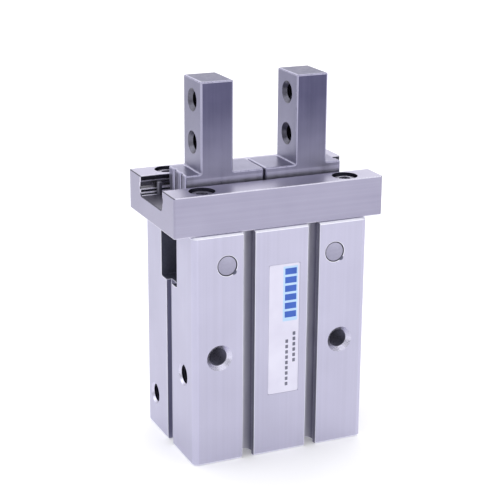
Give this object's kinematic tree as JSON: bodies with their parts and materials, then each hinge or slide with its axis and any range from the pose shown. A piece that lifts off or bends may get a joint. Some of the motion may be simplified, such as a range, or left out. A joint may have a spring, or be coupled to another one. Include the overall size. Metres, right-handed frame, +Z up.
{
  "type": "parallel pneumatic gripper",
  "caption": "Compact parallel air gripper: rectangular aluminium housing, steel linear guide on top and upright fingers that slide apart together.",
  "frame": {"origin": "centre of the housing's bottom face", "axes": "+Z up along the piston and the fingers, +X along the opening direction, -Y towards the face with the label"},
  "size_m": [0.05, 0.029, 0.0848],
  "materials": {
    "anodised_aluminium": "clear satin anodised, fine vertical extrusion grain",
    "guide_steel": "ground stainless steel, satin",
    "finger_steel": "ground heat-treated stainless steel with bright chamfers",
    "screw_steel": "dark treated screw steel",
    "dark_steel": "hardened steel, machined",
    "bright_steel": "polished bearing steel",
    "turned_aluminium": "turned, fine rings",
    "bearing_bronze": "sintered bronze, oiled",
    "seal_rubber": "matt black rubber",
    "magnet": "rubber-bonded ring magnet, matt",
    "label": "printed film, semi-matt"
  },
  "bodies": {
    "housing": {"body": "anodised_aluminium", "rating_label": "label", "guide_rail": "guide_steel", "end_cap": "turned_aluminium", "end_cap_seal": "seal_rubber", "retaining_ring": "dark_steel", "rod_cover": "turned_aluminium", "rod_cover_seal": "seal_rubber", "rod_seal": "seal_rubber", "bumper_lower": "seal_rubber", "bumper_upper": "seal_rubber", "guide_screw_front_left": "screw_steel", "ball_stop_front_left": "dark_steel", "guide_screw_front_right": "screw_steel", "ball_stop_front_right": "dark_steel", "guide_screw_back_left": "screw_steel", "ball_stop_back_left": "dark_steel", "guide_screw_back_right": "screw_steel", "ball_stop_back_right": "dark_steel", "lever_shaft_right": "bright_steel", "lever_shaft_left": "bright_steel"},
    "piston_group": {"piston": "turned_aluminium", "piston_seal": "seal_rubber", "piston_magnet": "magnet", "joint_block": "dark_steel", "joint_bolt": "dark_steel"},
    "lever_group_right": {"lever_right": "dark_steel", "lever_bearing_right": "bearing_bronze"},
    "finger_group_right": {"finger_right": "finger_steel"},
    "ball_group_right": {"guide_ball_right_front_1": "bright_steel", "guide_ball_right_front_2": "bright_steel", "guide_ball_right_front_3": "bright_steel", "guide_ball_right_front_4": "bright_steel", "guide_ball_right_back_1": "bright_steel", "guide_ball_right_back_2": "bright_steel", "guide_ball_right_back_3": "bright_steel", "guide_ball_right_back_4": "bright_steel"},
    "lever_group_left": {"lever_left": "dark_steel", "lever_bearing_left": "bearing_bronze"},
    "finger_group_left": {"finger_left": "finger_steel"},
    "ball_group_left": {"guide_ball_left_front_1": "bright_steel", "guide_ball_left_front_2": "bright_steel", "guide_ball_left_front_3": "bright_steel", "guide_ball_left_front_4": "bright_steel", "guide_ball_left_back_1": "bright_steel", "guide_ball_left_back_2": "bright_steel", "guide_ball_left_back_3": "bright_steel", "guide_ball_left_back_4": "bright_steel"}
  },
  "joints": [
    {"name": "piston_slide", "type": "slide", "parent": "housing", "child": "piston_group", "axis": [0, 0, 1], "range_m": [0, 0.00352]},
    {"name": "lever_turn_right", "type": "hinge", "parent": "housing", "child": "lever_group_right", "pos_m": [0.013, 0, 0.0463], "axis": [0, 1, 0], "range_deg": [0, 23.08]},
    {"name": "finger_slide_right", "type": "slide", "parent": "housing", "child": "finger_group_right", "axis": [1, 0, 0], "range_m": [0, 0.005]},
    {"name": "ball_roll_right", "type": "slide", "parent": "housing", "child": "ball_group_right", "axis": [1, 0, 0], "range_m": [0, 0.0025]},
    {"name": "lever_turn_left", "type": "hinge", "parent": "housing", "child": "lever_group_left", "pos_m": [-0.013, 0, 0.0463], "axis": [0, -1, 0], "range_deg": [0, 23.08]},
    {"name": "finger_slide_left", "type": "slide", "parent": "housing", "child": "finger_group_left", "axis": [-1, 0, 0], "range_m": [0, 0.005]},
    {"name": "ball_roll_left", "type": "slide", "parent": "housing", "child": "ball_group_left", "axis": [-1, 0, 0], "range_m": [0, 0.0025]}
  ],
  "couplings": [
    {"joint": "lever_turn_right", "follows": "piston_slide", "rad_per_m": 114.41},
    {"joint": "finger_slide_right", "follows": "piston_slide", "ratio": 1.4204},
    {"joint": "ball_roll_right", "follows": "piston_slide", "ratio": 0.71022},
    {"joint": "lever_turn_left", "follows": "piston_slide", "rad_per_m": 114.41},
    {"joint": "finger_slide_left", "follows": "piston_slide", "ratio": 1.4204},
    {"joint": "ball_roll_left", "follows": "piston_slide", "ratio": 0.71022}
  ]
}
